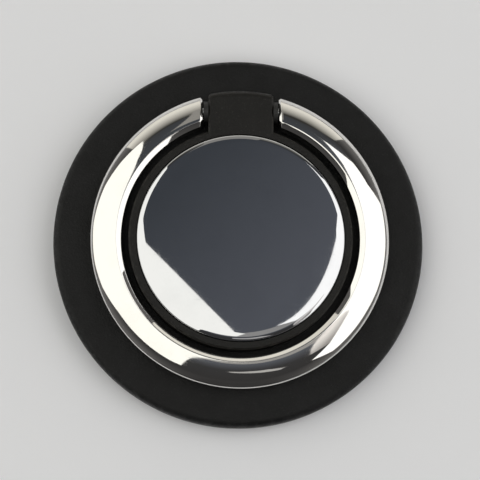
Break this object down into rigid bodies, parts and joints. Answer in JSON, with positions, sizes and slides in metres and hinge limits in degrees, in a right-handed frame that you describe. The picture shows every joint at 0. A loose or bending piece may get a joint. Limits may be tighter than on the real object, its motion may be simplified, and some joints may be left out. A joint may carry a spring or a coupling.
{
  "type": "phone ring holder",
  "caption": "Round stick-on ring holder for a phone: matte black base, turntable with a polished centre plate, and a chrome finger ring that folds flat, swings over and swivels.",
  "frame": {"origin": "middle of the adhesive disc's lower face, on the surface that the holder sticks to", "axes": "+Z out of that surface, +Y from the centre to the ring's hinge, +X along the hinge pin; ring folded down"},
  "size_m": [0.04, 0.04, 0.0062],
  "materials": {
    "base_black": "matte powder coat, fine grain",
    "turntable_black": "satin black coat",
    "ring_chrome": "bright chrome, polished",
    "plate_polished": "mirror-polished steel with hairline scratches",
    "adhesive": "soft acrylic foam tape",
    "nylon_black": "moulded nylon",
    "steel": "bright zinc-plated steel"
  },
  "bodies": {
    "base": {"adhesive_disc": "adhesive", "base_plate": "base_black", "slip_washer": "nylon_black"},
    "swivel": {"turntable": "turntable_black", "plate_tape": "adhesive", "centre_plate": "plate_polished", "hinge_bush_left": "nylon_black", "hinge_bush_right": "nylon_black", "swivel_rivet": "steel", "rivet_washer": "steel", "disc_spring": "steel"},
    "ring": {"finger_ring": "ring_chrome", "hinge_pin": "steel"}
  },
  "joints": [
    {"name": "swivel_turn", "type": "hinge", "parent": "base", "child": "swivel", "pos_m": [0, 0, 0.003], "axis": [0, 0, 1], "continuous": true},
    {"name": "ring_fold", "type": "hinge", "parent": "swivel", "child": "ring", "pos_m": [0, 0.01374, 0.00479], "axis": [-1, 0, 0], "range_deg": [0, 180]}
  ]
}
